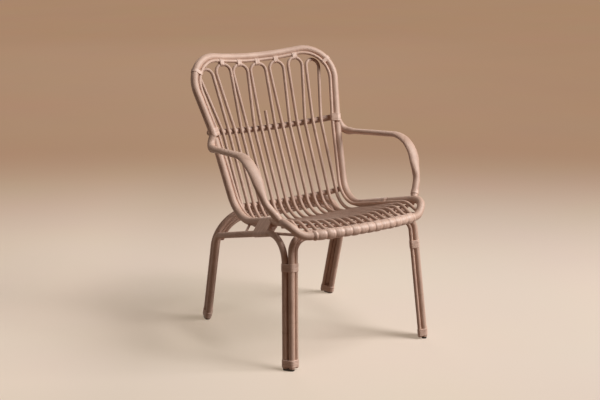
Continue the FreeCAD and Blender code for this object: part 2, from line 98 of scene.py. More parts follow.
# %% Set the lamps
lamp_aim = Vector((0.0, 0.0, 0.42))
lamp_tint = (1.0, 0.97, 0.94)
far_tint = (1.0, 0.95, 0.90)
side_way = Vector((0.60, -0.557, 0.574)).normalized()
high_way = Vector((0.262, -0.33, 0.906)).normalized()
back_way = Vector((0.42, 0.86, 0.28)).normalized()
far_way = Vector((-0.75, 0.62, 0.25)).normalized()


def soft_box(name, way, distance, size, power, tint=lamp_tint):
    """A square area lamp that looks at the middle of the chair."""
    place = lamp_aim + way * distance
    bpy.ops.object.light_add(type="AREA", location=place)
    lamp = bpy.context.object
    lamp.name = name
    lamp.data.shape = "SQUARE"
    lamp.data.size = size
    lamp.data.energy = power
    lamp.data.color = tint
    lamp.rotation_euler = (-way).to_track_quat("-Z", "Y").to_euler()
    return lamp


side_lamp = soft_box("side_lamp", side_way, distance=7.0, size=3.2, power=458.0)
high_lamp = soft_box("high_lamp", high_way, distance=8.0, size=1.8, power=200.0)
back_lamp = soft_box("back_lamp", back_way, distance=7.0, size=4.0, power=65.0)
far_lamp = soft_box("far_lamp", far_way, distance=7.0, size=4.0, power=40.0, tint=far_tint)
print("lamps set:", side_lamp.name, high_lamp.name, back_lamp.name, far_lamp.name)

# %% [markdown]
# ## Helpers for node trees
# Materials are built as node trees. Each needs the same moves, such as adding a node with its settings
# or starting a group with its sockets. They could be written out each time, but two small functions keep
# every later cell short.


# %% Node helpers
def add(tree, kind, label, **settings):
    """Adds a node with a label; settings are its own properties or the names of its inputs."""
    node = tree.nodes.new("ShaderNode" + kind)
    node.label = label
    for name, value in settings.items():
        if hasattr(node, name):
            setattr(node, name, value)
        else:
            node.inputs[name.replace("_", " ")].default_value = value
    return node


def group_with(name, inputs, outputs):
    """A new shader node group with its sockets, and its input and output nodes."""
    tree = bpy.data.node_groups.new(name, "ShaderNodeTree")
    for label, kind in inputs:
        tree.interface.new_socket(name=label, in_out="INPUT", socket_type="NodeSocket" + kind)
    for label, kind in outputs:
        tree.interface.new_socket(name=label, in_out="OUTPUT", socket_type="NodeSocket" + kind)
    return tree, tree.nodes.new("NodeGroupInput"), tree.nodes.new("NodeGroupOutput")


print("node helpers ready")

# %% [markdown]
# ## Rattan fibre
# Peeled rattan is a bundle of straight fibres, so its grain always runs along the pole, with paler
# and darker patches a hand's breadth apart. A noise that is stretched along one axis looks like that
# grain. The poles here run up, across, or fore and aft, so the group makes three stretched noises and
# fades between them. A UV map along each pole would follow bends exactly, but the frame's poles have
# none, and the fade is hidden in the bends.

# %% Fibre group
fibre_tree, fibre_in, fibre_out = group_with(
    "rattan_fibre",
    [("Place", "Vector"), ("Across", "Float"), ("Fore and aft", "Float")],
    [("Fibre", "Float"), ("Patch", "Float")],
)
fibre_stretch = {"upright": (1, 1, 0.05), "across": (0.05, 1, 1), "fore_aft": (1, 0.05, 1)}
fibre_noise = {}
for way, stretch in fibre_stretch.items():
    turned = add(fibre_tree, "Mapping", way, Scale=stretch)
    noise = add(fibre_tree, "TexNoise", way + " grain", Scale=620.0, Detail=3.0, Roughness=0.62)
    fibre_tree.links.new(fibre_in.outputs["Place"], turned.inputs["Vector"])
    fibre_tree.links.new(turned.outputs["Vector"], noise.inputs["Vector"])
    fibre_noise[way] = noise.outputs["Fac"]
first_fade = add(fibre_tree, "Mix", "upright to across")
second_fade = add(fibre_tree, "Mix", "then fore and aft")
fibre_tree.links.new(fibre_in.outputs["Across"], first_fade.inputs["Factor"])
fibre_tree.links.new(fibre_noise["upright"], first_fade.inputs["A"])
fibre_tree.links.new(fibre_noise["across"], first_fade.inputs["B"])
fibre_tree.links.new(fibre_in.outputs["Fore and aft"], second_fade.inputs["Factor"])
fibre_tree.links.new(first_fade.outputs["Result"], second_fade.inputs["A"])
fibre_tree.links.new(fibre_noise["fore_aft"], second_fade.inputs["B"])
fibre_tree.links.new(second_fade.outputs["Result"], fibre_out.inputs["Fibre"])
patch = add(fibre_tree, "TexNoise", "patches", Scale=17.0, Detail=4.0, Roughness=0.6)
fibre_tree.links.new(fibre_in.outputs["Place"], patch.inputs["Vector"])
fibre_tree.links.new(patch.outputs["Fac"], fibre_out.inputs["Patch"])
print("fibre group nodes:", len(fibre_tree.nodes))

# %% [markdown]
# ## Joint rings
# A rattan cane grew leaf by leaf, and each leaf left a faint ring round the pole. Rings lie square to
# the pole. Shells of equal distance from a point on the pole's line are square to it too, so the group
# measures that distance and marks a thin line at every step. Modelled rings would be too fine to see.


# %% Ring group
def ramp(tree, value, start, end, label):
    """A mask that goes from 0 where a value is at start to 1 where it is at end."""
    mask = add(tree, "MapRange", label, interpolation_type="SMOOTHSTEP")
    mask.inputs["From Min"].default_value = min(start, end)
    mask.inputs["From Max"].default_value = max(start, end)
    mask.inputs["To Min"].default_value = 0.0 if end > start else 1.0
    mask.inputs["To Max"].default_value = 1.0 if end > start else 0.0
    tree.links.new(value, mask.inputs["Value"])
    return mask.outputs["Result"]


half_spacing = 0.5
ring_width = 0.02
ring_tree, ring_in, ring_out = group_with(
    "rattan_rings",
    [("Place", "Vector"), ("Centre", "Vector"), ("Spacing", "Float")],
    [("Ring", "Float")],
)
ring_reach = add(ring_tree, "VectorMath", "reach", operation="DISTANCE")
ring_share = add(ring_tree, "Math", "in spacings", operation="DIVIDE")
ring_wave = add(ring_tree, "Math", "from the nearest ring", operation="PINGPONG")
ring_wave.inputs[1].default_value = half_spacing
ring_tree.links.new(ring_in.outputs["Place"], ring_reach.inputs[0])
ring_tree.links.new(ring_in.outputs["Centre"], ring_reach.inputs[1])
ring_tree.links.new(ring_reach.outputs["Value"], ring_share.inputs[0])
ring_tree.links.new(ring_in.outputs["Spacing"], ring_share.inputs[1])
ring_tree.links.new(ring_share.outputs["Value"], ring_wave.inputs[0])
ring_line = ramp(ring_tree, ring_wave.outputs["Value"], ring_width, 0.0, "thin line")
ring_tree.links.new(ring_line, ring_out.inputs["Ring"])
print("ring group nodes:", len(ring_tree.nodes))

# %% [markdown]
# ## Tones, gloss and relief
# Every finish on this chair turns a mask into a colour, a gloss or a lift of the surface. Pictures of
# the materials could carry all three, but noise needs no files and stays sharp from close by. These
# functions place the nodes, so that each finish below reads as a short recipe.


# %% Finish helpers
def new_finish(name):
    """A new material, its node tree and the Object coordinates that its patterns read."""
    material = bpy.data.materials.new(name)
    material.use_nodes = True
    tree = material.node_tree
    return material, tree, add(tree, "TexCoord", "place").outputs["Object"]


def joined(tree, operation, first, second):
    """Two masks joined by a Math node."""
    node = add(tree, "Math", operation.lower(), operation=operation)
    tree.links.new(first, node.inputs[0])
    tree.links.new(second, node.inputs[1])
    return node.outputs["Value"]


def two_tones(tree, label, mask, low_tone, high_tone, low_end=0.0, high_end=1.0):
    """A colour that goes from one tone to another as the mask rises from low_end to high_end."""
    tone = add(tree, "ValToRGB", label)
    tone.color_ramp.elements[0].position = low_end
    tone.color_ramp.elements[0].color = low_tone
    tone.color_ramp.elements[1].position = high_end
    tone.color_ramp.elements[1].color = high_tone
    tree.links.new(mask, tone.inputs["Fac"])
    return tone.outputs["Color"]


def set_gloss(tree, label, mask, low_roughness, high_roughness):
    """Lets a mask change the roughness, from one value where it is 0 to another where it is 1."""
    gloss = add(tree, "MapRange", label)
    gloss.inputs["To Min"].default_value = low_roughness
    gloss.inputs["To Max"].default_value = high_roughness
    tree.links.new(mask, gloss.inputs["Value"])
    tree.links.new(gloss.outputs["Result"], tree.nodes["Principled BSDF"].inputs["Roughness"])


def set_relief(tree, label, height, strength, depth):
    """Lets a height tilt the surface's normal, as if it were lifted by a depth in metres."""
    bump = add(tree, "Bump", label, Strength=strength, Distance=depth)
    tree.links.new(height, bump.inputs["Height"])
    tree.links.new(bump.outputs["Normal"], tree.nodes["Principled BSDF"].inputs["Normal"])


print("finish helpers ready")

# %% [markdown]
# ## The rattan finish
# The poles have a thin half-matt varnish over a pinkish straw colour. The finish mixes a pale and a deep
# tone by fibre and patch, darkens the joint rings, and lets the same fibre lift the surface and change
# its gloss. One function builds it, because the families of poles differ only in tone, rings and grain.

# %% Rattan finish
fibre_share = 0.45
patch_share = 0.55
deep_below = 0.34
pale_above = 0.62
ring_tint = (0.90, 0.87, 0.84, 1.0)
dull_fibre = 0.62
bright_fibre = 0.48
varnish_shine = 0.75


def rattan(name, pale, deep, ring_centre, ring_spacing, across=None, fore_aft=None):
    """A rattan material. across and fore_aft are 1, or functions that make a mask from the place."""
    material, tree, place = new_finish(name)
    shader = tree.nodes["Principled BSDF"]
    fibre = add(tree, "Group", "fibre", node_tree=fibre_tree)
    tree.links.new(place, fibre.inputs["Place"])
    for socket, mask in (("Across", across), ("Fore and aft", fore_aft)):
        if callable(mask):
            tree.links.new(mask(tree, place), fibre.inputs[socket])
        else:
            fibre.inputs[socket].default_value = mask or 0.0
    rings = add(tree, "Group", "joint rings", node_tree=ring_tree)
    rings.inputs["Centre"].default_value = ring_centre
    rings.inputs["Spacing"].default_value = ring_spacing
    tree.links.new(place, rings.inputs["Place"])
    blend = add(tree, "Math", "fibre and patch", operation="MULTIPLY_ADD")
    blend.inputs[1].default_value = fibre_share
    patch_part = add(tree, "Math", "patch share", operation="MULTIPLY")
    patch_part.inputs[1].default_value = patch_share
    tree.links.new(fibre.outputs["Fibre"], blend.inputs[0])
    tree.links.new(fibre.outputs["Patch"], patch_part.inputs[0])
    tree.links.new(patch_part.outputs["Value"], blend.inputs[2])
    tone = two_tones(tree, "deep to pale", blend.outputs["Value"], deep, pale, deep_below, pale_above)
    ringed = add(tree, "Mix", "ring tint", data_type="RGBA", blend_type="MULTIPLY")
    ringed.inputs["B"].default_value = ring_tint
    tree.links.new(rings.outputs["Ring"], ringed.inputs["Factor"])
    tree.links.new(tone, ringed.inputs["A"])
    tree.links.new(ringed.outputs["Result"], shader.inputs["Base Color"])
    set_gloss(tree, "gloss of the fibre", fibre.outputs["Fibre"], dull_fibre, bright_fibre)
    height = joined(tree, "SUBTRACT", fibre.outputs["Fibre"], rings.outputs["Ring"])
    set_relief(tree, "fibre relief", height, strength=0.35, depth=0.0004)
    shader.inputs["Specular IOR Level"].default_value = varnish_shine
    return material


print("rattan roughness:", bright_fibre, "to", dull_fibre)

# %% [markdown]
# ## Which way the grain runs
# A bent pole runs up in one stretch and across or fore and aft in the next. Each family of poles gets a
# material of its own, with masks that fade from one direction to the other inside the bends. One
# material with all the masks would work too, but it would be hard to read and to change.


# %% Rattan materials
def fade(tree, place, axis, start, end):
    """A mask that goes from 0 at start to 1 at end along one axis of the place."""
    split = add(tree, "SeparateXYZ", "split")
    tree.links.new(place, split.inputs["Vector"])
    return ramp(tree, split.outputs[axis], start, end, "fade along " + axis)


def front_or_top(tree, place):
    """The front rail and the top of the back run across."""
    front_rail = fade(tree, place, "Y", -0.255, -0.295)
    top = fade(tree, place, "Z", 0.83, 0.86)
    return joined(tree, "MAXIMUM", front_rail, top)


def seat_and_arms(tree, place):
    """The seat sides and the arms run fore and aft, up to the front rail and the back."""
    ahead_of_back = fade(tree, place, "Y", 0.16, 0.11)
    behind_front_rail = fade(tree, place, "Y", -0.295, -0.255)
    return joined(tree, "MULTIPLY", ahead_of_back, behind_front_rail)


def seat_only(tree, place):
    """Spindles run fore and aft in the seat."""
    return fade(tree, place, "Y", 0.13, 0.09)


def above_bend(tree, place):
    """Leg arches run across above their bends."""
    return fade(tree, place, "Z", 0.33, 0.38)


def above_side_bend(tree, place):
    """Side arches run fore and aft above their bends."""
    return fade(tree, place, "Z", 0.29, 0.325)


pole = {"pale": (0.665, 0.468, 0.375, 1.0), "deep": (0.495, 0.322, 0.243, 1.0)}
core = {"pale": (0.595, 0.414, 0.33, 1.0), "deep": (0.44, 0.281, 0.21, 1.0)}
rattan_hoop = rattan(
    "rattan_hoop",
    ring_centre=(0, 0.18, 0.6),
    ring_spacing=0.21,
    across=front_or_top,
    fore_aft=seat_and_arms,
    **pole,
)
rattan_leg = rattan("rattan_leg", ring_centre=(0, 0, 2.03), ring_spacing=0.24, across=above_bend, **pole)
rattan_side = rattan(
    "rattan_side", ring_centre=(0, 0, 2.16), ring_spacing=0.26, fore_aft=above_side_bend, **pole
)
rattan_rail = rattan("rattan_rail", ring_centre=(0.9, 0.1, 0.5), ring_spacing=0.23, across=1.0, **pole)
rattan_core = rattan(
    "rattan_core_skin", ring_centre=(0, 0.11, 0.36), ring_spacing=0.31, fore_aft=seat_only, **core
)
rattan_finishes = [rattan_hoop, rattan_leg, rattan_side, rattan_rail, rattan_core]
print("rattan materials:", [finish.name for finish in rattan_finishes])

# %% [markdown]
# ## Painting the poles
# The poles keep the frame's shape, so each only changes its material. A list of name starts says which
# finish a pole takes, and the loop prints how many poles it painted.

# %% Paint the poles
finish_of = {
    "back_arm_hoop": rattan_hoop,
    "inner_hoop": rattan_hoop,
    "seat_rim": rattan_hoop,
    "spindle_loop": rattan_core,
    "centre_spindle": rattan_core,
    "mid_back_rail": rattan_rail,
    "low_back_rail": rattan_rail,
    "front_cross_rail": rattan_rail,
    "front_leg_arch": rattan_leg,
    "rear_leg_arch": rattan_leg,
    "front_arch_inner": rattan_leg,
    "rear_arch_inner": rattan_leg,
    "rear_arch_brace": rattan_leg,
    "side_arch": rattan_side,
    "side_post": rattan_leg,
    "corner_stay": rattan_side,
}


def paint(piece, material):
    """Gives every material slot of a piece the same material."""
    for slot in piece.material_slots:
        slot.link = "OBJECT"
        slot.material = material


painted = 0
for name, node in nodes.items():
    for start, material in finish_of.items():
        if name.startswith(start):
            paint(node, material)
            painted += 1
print("poles painted:", painted)

# %% [markdown]
# ## Foot glides
# Each leg stands in a dark moulded glide. The plastic is almost black, with grey scuffs low down where
# it meets the floor. Scuffs could be painted by hand, but a noise that is only let in near the floor
# gives each glide its own.

# %% Glide material
glide_black = (0.016, 0.011, 0.009, 1.0)
scuff_grey = (0.11, 0.09, 0.075, 1.0)
clean_roughness = 0.42
scuffed_roughness = 0.7
glide_plastic, glide_tree, glide_place = new_finish("glide_plastic")
scuff = add(glide_tree, "TexNoise", "scuffs", Scale=260.0, Detail=4.0, Roughness=0.7)
glide_tree.links.new(glide_place, scuff.inputs["Vector"])
low_down = fade(glide_tree, glide_place, "Z", 0.008, 0.001)
scuffed = joined(glide_tree, "MULTIPLY", scuff.outputs["Fac"], low_down)
glide_tone = two_tones(glide_tree, "black to grey", scuffed, glide_black, scuff_grey)
glide_tree.links.new(glide_tone, glide_tree.nodes["Principled BSDF"].inputs["Base Color"])
set_gloss(glide_tree, "gloss of the plastic", scuff.outputs["Fac"], clean_roughness, scuffed_roughness)
glides = [name for name in nodes if "glide" in name]
for name in glides:
    paint(nodes[name], glide_plastic)
print("glides painted:", len(glides))

# %% [markdown]
# ## Cane strip
# The bindings are wound from the shiny outer skin of the rattan, split into flat strips. Each turn
# differs a little in tone. A noise that is squeezed along the winding's axis changes quickly from turn
# to turn and slowly round the pole, which is what a strip does, and a fine noise adds streaks. They are
# a group, because three materials share them and differ only in the axis.

# %% Strip group
strip_tree, strip_in, strip_out = group_with(
    "cane_strip",
    [("Place", "Vector"), ("Squeeze", "Vector")],
    [("Turn", "Float"), ("Streak", "Float")],
)
strip_turned = add(strip_tree, "Mapping", "along the winding")
strip_turns = add(strip_tree, "TexNoise", "turn tone", Scale=1.0, Detail=2.0, Roughness=0.5)
strip_streak = add(strip_tree, "TexNoise", "strip streaks", Scale=700.0, Detail=2.0)
strip_mixed = add(strip_tree, "Mix", "turn and streak", Factor=0.3)
strip_tree.links.new(strip_in.outputs["Place"], strip_turned.inputs["Vector"])
strip_tree.links.new(strip_in.outputs["Squeeze"], strip_turned.inputs["Scale"])
strip_tree.links.new(strip_turned.outputs["Vector"], strip_turns.inputs["Vector"])
strip_tree.links.new(strip_in.outputs["Place"], strip_streak.inputs["Vector"])
strip_tree.links.new(strip_turns.outputs["Fac"], strip_mixed.inputs["A"])
strip_tree.links.new(strip_streak.outputs["Fac"], strip_mixed.inputs["B"])
strip_tree.links.new(strip_mixed.outputs["Result"], strip_out.inputs["Turn"])
strip_tree.links.new(strip_streak.outputs["Fac"], strip_out.inputs["Streak"])
print("strip group nodes:", len(strip_tree.nodes))

# %% [markdown]
# ## Cane for the bindings
# The strip keeps its natural skin, so it is a little glossier and paler than the peeled poles. The
# group's turns choose the tone, and its streaks change the gloss and lift the surface.

# %% Cane materials
cane_pale = (0.77, 0.56, 0.465, 1.0)
cane_deep = (0.54, 0.355, 0.272, 1.0)
strip_deep_below = 0.33
strip_pale_above = 0.64
dull_strip = 0.52
bright_strip = 0.38
slow_round = 24
quick_along = 250


def wound_cane(name, squeeze):
    """Cane strip finish; squeeze is the noise scale along X, Y and Z."""
    material, tree, place = new_finish(name)
    shader = tree.nodes["Principled BSDF"]
    strip = add(tree, "Group", "cane strip", node_tree=strip_tree)
    strip.inputs["Squeeze"].default_value = squeeze
    tree.links.new(place, strip.inputs["Place"])
    turn = strip.outputs["Turn"]
    streak = strip.outputs["Streak"]
    tone = two_tones(tree, "strip tones", turn, cane_deep, cane_pale, strip_deep_below, strip_pale_above)
    tree.links.new(tone, shader.inputs["Base Color"])
    set_gloss(tree, "gloss of the strip", streak, dull_strip, bright_strip)
    set_relief(tree, "streak relief", streak, strength=0.2, depth=0.0003)
    shader.inputs["Specular IOR Level"].default_value = varnish_shine
    return material


cane_upright = wound_cane("cane_upright", (slow_round, slow_round, quick_along))
cane_across = wound_cane("cane_across", (quick_along, slow_round, slow_round))
cane_fore_aft = wound_cane("cane_fore_aft", (slow_round, quick_along, slow_round))
print("cane materials:", cane_upright.name, cane_across.name, cane_fore_aft.name)

# %% [markdown]
# ## Winding the cane: a tight sleeve
# The frame holds each binding as a smooth sleeve. On the real chair it is a strip wound in close turns.
# A screw modifier would make a true helix, but only round one pole, and these sleeves pass round two or
# three. So a copy of the sleeve is merged and pulled tight by a convex hull, as cane is over its poles,
# and its end faces give the axis of the winding.

# %% Pull a sleeve tight
same_point = 0.00001
flat_angle = math.radians(0.4)
end_margin = 0.002


def sleeve_copy(node_name, piece_name):
    """An object of its own with a merged copy of a frame sleeve's mesh."""
    bpy.ops.object.select_all(action="DESELECT")
    piece = bpy.data.objects.new(piece_name, nodes[node_name].data.copy())
    bpy.context.scene.collection.objects.link(piece)
    bpy.context.view_layer.objects.active = piece
    piece.select_set(True)
    bpy.ops.object.mode_set(mode="EDIT")
    bpy.ops.mesh.select_all(action="SELECT")
    bpy.ops.mesh.remove_doubles(threshold=same_point)
    bpy.ops.object.mode_set(mode="OBJECT")
    return piece


def pull_tight():
    """Turns the active sleeve into its convex hull, with flat faces merged."""
    bpy.ops.object.mode_set(mode="EDIT")
    bpy.ops.mesh.select_all(action="SELECT")
    bpy.ops.mesh.convex_hull(join_triangles=False)
    bpy.ops.mesh.select_all(action="SELECT")
    bpy.ops.mesh.dissolve_limited(angle_limit=flat_angle)
    bpy.ops.object.mode_set(mode="OBJECT")


def axis_of(mesh, hint):
    """The direction of a sleeve: the normal, weighted by area, of its end faces near the hint."""
    hint = Vector(hint).normalized()
    total = Vector((0, 0, 0))
    best = max(face.normal.dot(hint) for face in mesh.polygons)
    for face in mesh.polygons:
        if face.normal.dot(hint) > best - end_margin:
            total += face.normal * face.area
    return total.normalized()


print("flat faces merge below:", round(math.degrees(flat_angle), 2), "degrees")

# %% [markdown]
# ## Winding the cane: a stacked outline
# The turns need rings of points all along the sleeve. Cutting the hull in slices would give them, but
# its ends are ragged where poles pass through. A bisect plane square to the axis takes the outline at the
# middle instead, and the outline is extruded again in short steps. The end faces are taken out before
# the turns are raised and filled after it, so that points move square to the axis only.

# %% Stack the outline
close_points = 0.0002
square_on = 0.95


def stack(way, start, length, steps):
    """Swaps the active sleeve for its middle outline, extruded from start in equal steps."""
    bpy.ops.object.mode_set(mode="EDIT")
    bpy.ops.mesh.select_all(action="SELECT")
    bpy.ops.mesh.bisect(
        plane_co=way * (start + length / 2), plane_no=way, use_fill=True, clear_inner=True, clear_outer=True
    )
    bpy.ops.mesh.select_all(action="SELECT")
    bpy.ops.mesh.remove_doubles(threshold=close_points)
    bpy.ops.mesh.select_all(action="SELECT")
    bpy.ops.transform.translate(value=way * (-length / 2))
    for step in range(steps):
        bpy.ops.mesh.extrude_region_move(TRANSFORM_OT_translate={"value": way * (length / steps)})
    bpy.ops.mesh.select_all(action="SELECT")
    bpy.ops.mesh.normals_make_consistent(inside=False)
    bpy.ops.object.mode_set(mode="OBJECT")


def open_ends(piece, way):
    """Takes out the two end faces of the active sleeve."""
    bpy.ops.object.mode_set(mode="EDIT")
    bpy.ops.mesh.select_mode(type="FACE")
    bpy.ops.mesh.select_all(action="DESELECT")
    bpy.ops.object.mode_set(mode="OBJECT")
    for face in piece.data.polygons:
        face.select = abs(face.normal.dot(way)) > square_on
    bpy.ops.object.mode_set(mode="EDIT")
    bpy.ops.mesh.delete(type="ONLY_FACE")
    bpy.ops.object.mode_set(mode="OBJECT")


def close_ends():
    """Fills the open ends of the active sleeve again."""
    bpy.ops.object.mode_set(mode="EDIT")
    bpy.ops.mesh.select_all(action="SELECT")
    bpy.ops.mesh.fill_holes(sides=0)
    bpy.ops.mesh.select_all(action="SELECT")
    bpy.ops.mesh.normals_make_consistent(inside=False)
    bpy.ops.object.mode_set(mode="OBJECT")


print("outline points merge below:", close_points * 1000, "mm")

# %% [markdown]
# ## Winding the cane: raised turns
# Each turn is a flat strip with a rounded crown and a dark line at its edges. A bump would give the
# shading, but from the side the edge would stay straight. Displace modifiers, one of which follows a
# vertex group, lift the middle of each turn and sink the lines between.

# %% Raise the turns
turn_cuts = 4
turn_relief = 0.00085
turn_mean = 0.62
lift_span = 0.008
smooth_angle = math.radians(50)


def lift(piece, height_of):
    """Moves each point along its normal by a height in metres.

    A weight runs from 0 to 1, so all points first sink by half the span and then rise by their weight.
    """
    group = piece.vertex_groups.new(name="relief")
    for vertex in piece.data.vertices:
        share = min(max(0.5 + height_of(vertex.co) / lift_span, 0.0), 1.0)
        group.add([vertex.index], share, "REPLACE")
    low = piece.modifiers.new("sink", "DISPLACE")
    low.direction = "NORMAL"
    low.mid_level = 0.0
    low.strength = -lift_span / 2
    high = piece.modifiers.new("relief", "DISPLACE")
    high.direction = "NORMAL"
    high.mid_level = 0.0
    high.strength = lift_span
    high.vertex_group = "relief"
    for modifier in ("sink", "relief"):
        bpy.ops.object.modifier_apply(modifier=modifier)
    piece.vertex_groups.clear()


def turn_height(share):
    """Height of a strip's crown over its edges, for a place counted in turns."""
    across = share % 1.0
    return turn_relief * (math.sqrt(max(0.0, math.sin(math.pi * across))) - turn_mean)


def finish_binding(piece, node_name, material):
    """Smooths, paints and books in a finished binding."""
    bpy.ops.object.shade_smooth_by_angle(angle=smooth_angle)
    piece.data.materials.clear()
    piece.data.materials.append(material)
    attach(piece, "root")
    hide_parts(node_name)


def wind(node_name, hint, turns, material, relief=1.0):
    """Winds one sleeve of the frame with cane turns; relief is a share of the full height."""
    piece = sleeve_copy(node_name, "wound_" + node_name)
    pull_tight()
    way = axis_of(piece.data, hint)
    reach = [vertex.co.dot(way) for vertex in piece.data.vertices]
    start, length = min(reach), max(reach) - min(reach)
    stack(way, start, length, turns * turn_cuts)
    open_ends(piece, way)
    lift(piece, lambda point: relief * turn_height((point.dot(way) - start) / length * turns))
    close_ends()
    finish_binding(piece, node_name, material)
    return piece


print("turn relief:", turn_relief * 1000, "mm")

# %% [markdown]
# ## Bindings on the legs
# Several poles stand together in each leg, and cane holds them at the foot and, in front, below the
# bend. The turns could lie level, but a strip is wound square to the leg, which leans a little, so the
# hint for the axis leans too.

# %% Wind the leg bindings
wound = []
for side, sign in (("right", 1), ("left", -1)):
    front_way = (-0.0613 * sign, 0.1032, 1)
    rear_way = (0.011 * sign, -0.259, 1)
    wound.append(wind("front_leg_band_" + side, front_way, turns=6, material=cane_upright))
    wound.append(wind("front_foot_band_" + side, front_way, turns=5, material=cane_upright))
    wound.append(wind("rear_foot_band_" + side, rear_way, turns=5, material=cane_upright))
print("leg bindings wound:", len(wound))

# %% [markdown]
# ## Bindings on the back and the arms
# Short sleeves tie the tops of the spindle loops to the thin inner hoop, and longer ones tie the two
# hoops at the corners and the waist. The arms end in a narrow binding over the seat side. They are wound
# like the legs, with a lower relief on the hoops and arms, where the turns show less.

# %% Wind the back and arm bindings
across_way = (1, 0, 0)
wound.append(wind("top_band_middle", across_way, turns=4, material=cane_across))
for side, sign in (("right", 1), ("left", -1)):
    hoop_way = (0.15 * sign, 0.38, 0.9)
    arm_way = (0.49 * sign, 0.44, 0.76)
    wound.append(wind("top_band_inner_" + side, across_way, turns=4, material=cane_across))
    wound.append(wind("top_band_outer_" + side, across_way, turns=4, material=cane_across))
    wound.append(wind("corner_band_" + side, hoop_way, turns=3, material=cane_upright, relief=0.4))
    wound.append(wind("waist_band_" + side, hoop_way, turns=6, material=cane_upright, relief=0.35))
    wound.append(wind("arm_band_" + side, arm_way, turns=4, material=cane_upright, relief=0.4))
print("bindings wound so far:", len(wound))

# %% [markdown]
# ## Bindings under the seat
# A long sleeve holds the seat side to the side arch, and small ties hold the front and rear arches to
# the rails above them. The long one could be wound in parts, but its axis is straight, so one winding
# does.

# %% Wind the seat bindings
seat_side_way = (0, 1, -0.2)
for side in ("right", "left"):
    wound.append(wind("side_band_" + side, seat_side_way, turns=18, material=cane_fore_aft, relief=0.6))
    wound.append(wind("rear_arch_tie_" + side, across_way, turns=4, material=cane_across))
    wound.append(wind("front_arch_tie_" + side, across_way, turns=4, material=cane_across))
print("bindings wound so far:", len(wound))

# %% [markdown]
# ## The wrapped front rail
# The spindles end on the front rail, and cane covers the rail between its corners, with a knuckle where
# it passes over each spindle's end. The rail is a shallow bow, so an outline can be swept in three ways:
# a bevelled curve, a straight tube with a bend modifier, or a spin about the bow's centre. The spin is
# used, because the bow is one arc and every ring then stands square to it.

# %% Sweep the front rail
rail_radius = 0.0125
cane_thickness = 0.0014
wrap_radius = rail_radius + cane_thickness
wrap_half = 0.1851
wrap_bow = 0.0278
wrap_tilt = math.radians(7.8)
wrap_turns = 90
wrap_sides = 44
wrap_low = Vector(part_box("front_rail_wrap")[0])
bow_radius = (wrap_half**2 + wrap_bow**2) / (2 * wrap_bow)
bow_angle = math.asin(wrap_half / bow_radius)
inward = Vector((0, math.cos(wrap_tilt), -math.sin(wrap_tilt)))
end_middle = Vector((0, wrap_low.y + wrap_radius + inward.y * wrap_bow, wrap_low.z + wrap_radius))
bow_centre = end_middle + inward * (bow_radius - wrap_bow)
bow_axis = Vector((1, 0, 0)).cross(inward)
end_way = Vector((math.cos(bow_angle), 0, 0)) - inward * math.sin(bow_angle)
bpy.ops.mesh.primitive_circle_add(
    vertices=wrap_sides,
    radius=wrap_radius,
    location=end_middle - Vector((wrap_half, 0, 0)),
    rotation=end_way.to_track_quat("Z", "Y").to_euler(),
)
wrap = bpy.context.object
wrap.name = "wound_front_rail"
bpy.ops.object.transform_apply(location=True, rotation=True, scale=True)
bpy.ops.object.mode_set(mode="EDIT")
bpy.ops.mesh.select_all(action="SELECT")
bpy.ops.mesh.spin(steps=wrap_turns * turn_cuts, angle=-2 * bow_angle, center=bow_centre, axis=bow_axis)
bpy.ops.mesh.select_all(action="SELECT")
bpy.ops.mesh.normals_make_consistent(inside=False)
bpy.ops.object.mode_set(mode="OBJECT")
print("front wrap length:", round(wrap.dimensions.x, 4))

# %% [markdown]
# ## Turns and knuckles on the front rail
# The rail takes its turns like the other bindings. The lift here has two humps: the turns of the strip,
# and the knuckles at the spindles' pitch. Separate loops of cane could stand for the knuckles, but cane
# that is pulled tight shows one skin. At both ends it thins out to the bare pole.

# %% Wind the front rail
back_pitch = 0.0274
front_fan = 0.99
spindle_pitch = back_pitch * front_fan
knuckle_height = 0.0028
knuckle_spread = 0.2
knuckle_step = 2.3
wrap_turn_share = 0.7
wrap_taper = 0.008
wrap_end = wrap_half + wrap_radius * math.sin(bow_angle)


def wrap_height(point):
    """Turns of the strip and a knuckle over each spindle's end, thinned out at both ends."""
    turns = turn_height((point.x + wrap_half) / (2 * wrap_half) * wrap_turns)
    spindle = round(point.x / spindle_pitch)
    from_spindle = abs(point.x / spindle_pitch - spindle) * 2
    size = 1 - knuckle_spread + knuckle_spread * math.sin(knuckle_step * spindle)
    knuckle = knuckle_height * size * (1 - from_spindle**3)
    taper = min(1.0, (wrap_end - abs(point.x)) / wrap_taper)
    return taper * (turns * wrap_turn_share + knuckle) - (1 - taper) * cane_thickness


lift(wrap, wrap_height)
close_ends()
finish_binding(wrap, "front_rail_wrap", cane_across)
print("front wrap faces:", len(wrap.data.polygons))
